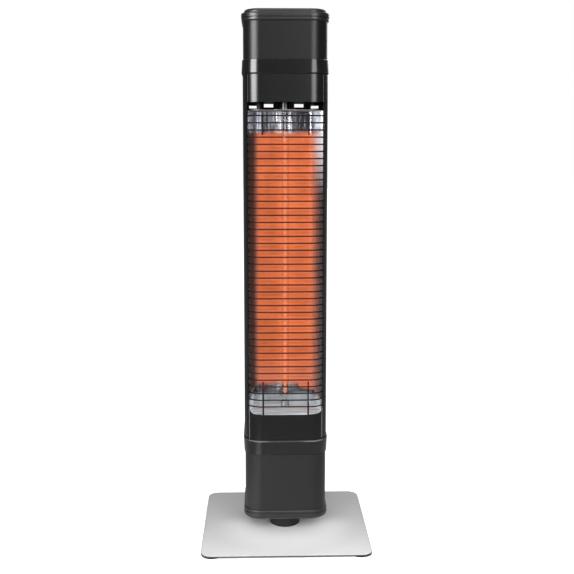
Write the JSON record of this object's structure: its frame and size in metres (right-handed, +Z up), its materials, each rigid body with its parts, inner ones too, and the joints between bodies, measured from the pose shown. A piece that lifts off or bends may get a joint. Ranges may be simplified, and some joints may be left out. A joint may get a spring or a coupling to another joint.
{
  "type": "infrared patio heater tower",
  "caption": "Slim free-standing infrared heater tower with a glowing lamp behind a wire grille, turning on a square floor plate.",
  "frame": {"origin": "on the floor, at the centre of the square floor plate", "axes": "+Z up along the tower, the grille faces -Y, +X to the right as seen from behind"},
  "size_m": [0.3, 0.3, 0.937],
  "materials": {
    "satin_steel": "fine satin silver powder coat",
    "charcoal_steel": "satin charcoal powder coat",
    "charcoal_plastic": "satin moulded charcoal plastic",
    "gloss_black_plastic": "gloss black plastic",
    "black_rubber": "matt rubber",
    "zinc_steel": "zinc-plated steel",
    "black_steel": "black coated steel",
    "acetal": "white acetal",
    "polished_aluminium": "bright rolled reflector sheet",
    "dark_sheet": "dark plated sheet",
    "quartz": "clear quartz",
    "carbon": "woven carbon strand, glowing",
    "nickel_steel": "nickel-plated sleeve",
    "circuit_board": "green lacquered board",
    "component_black": "black moulded part",
    "terminal_plastic": "natural nylon",
    "fin_aluminium": "extruded aluminium",
    "ferrite": "sintered ferrite",
    "paper_cone": "black pulp cone with rubber surround",
    "lens": "red translucent lens",
    "button_plastic": "satin black key cap"
  },
  "bodies": {
    "base": {"base_plate": "satin_steel", "base_feet": "black_rubber", "neck_screws": "zinc_steel", "swivel_neck": "charcoal_plastic", "swivel_spindle": "zinc_steel", "thrust_washer": "acetal", "stop_pin": "zinc_steel", "spring_washer": "zinc_steel", "retaining_nut": "zinc_steel"},
    "tower": {"lower_end_cap": "charcoal_plastic", "swivel_bush": "acetal", "lower_housing": "charcoal_steel", "lower_collar": "charcoal_plastic", "cable_gland": "component_black", "gland_nut": "component_black", "switch_body": "component_black", "chassis_bracket": "zinc_steel", "chassis_screws": "zinc_steel", "terminal_block": "terminal_plastic", "tilt_switch": "component_black", "rear_housing": "charcoal_steel", "front_panel_lower": "charcoal_steel", "front_panel_upper": "charcoal_steel", "grille": "black_steel", "reflector": "polished_aluminium", "reflector_floor": "polished_aluminium", "reflector_ceiling": "polished_aluminium", "quartz_tube": "quartz", "carbon_filament": "carbon", "lamp_end_caps": "nickel_steel", "lamp_brackets": "zinc_steel", "compartment_deck": "dark_sheet", "thermal_cutout": "component_black", "upper_collar": "charcoal_plastic", "upper_housing": "charcoal_steel", "top_rim": "charcoal_plastic", "top_lid": "charcoal_plastic", "control_fascia": "gloss_black_plastic", "indicator_lens": "lens", "control_board": "circuit_board", "tact_switches": "component_black", "board_screws": "zinc_steel", "power_board": "circuit_board", "relays": "component_black", "heat_sink": "fin_aluminium", "speaker_frame": "component_black", "speaker_magnet": "ferrite", "speaker_cone": "paper_cone", "rear_screws": "black_steel", "speaker_screws": "black_steel"},
    "power_rocker": {"power_rocker": "gloss_black_plastic"},
    "button_power": {"button_power": "button_plastic"},
    "button_heat_down": {"button_heat_down": "button_plastic"},
    "button_heat_up": {"button_heat_up": "button_plastic"},
    "button_timer": {"button_timer": "button_plastic"},
    "button_sound": {"button_sound": "button_plastic"}
  },
  "joints": [
    {"name": "tower_swivel", "type": "hinge", "parent": "base", "child": "tower", "pos_m": [0, 0, 0.04], "axis": [0, 0, 1], "range_deg": [-45, 45]},
    {"name": "power_rocker_tilt", "type": "hinge", "parent": "tower", "child": "power_rocker", "pos_m": [0, 0.0703, 0.124], "axis": [1, 0, 0], "range_deg": [0, 18]},
    {"name": "button_power_press", "type": "slide", "parent": "tower", "child": "button_power", "axis": [0, 0, -1], "range_m": [0, 0.001], "stiffness_N_per_m": 400, "springref_m": -0.0005},
    {"name": "button_heat_down_press", "type": "slide", "parent": "tower", "child": "button_heat_down", "axis": [0, 0, -1], "range_m": [0, 0.001], "stiffness_N_per_m": 400, "springref_m": -0.0005},
    {"name": "button_heat_up_press", "type": "slide", "parent": "tower", "child": "button_heat_up", "axis": [0, 0, -1], "range_m": [0, 0.001], "stiffness_N_per_m": 400, "springref_m": -0.0005},
    {"name": "button_timer_press", "type": "slide", "parent": "tower", "child": "button_timer", "axis": [0, 0, -1], "range_m": [0, 0.001], "stiffness_N_per_m": 400, "springref_m": -0.0005},
    {"name": "button_sound_press", "type": "slide", "parent": "tower", "child": "button_sound", "axis": [0, 0, -1], "range_m": [0, 0.001], "stiffness_N_per_m": 400, "springref_m": -0.0005}
  ]
}
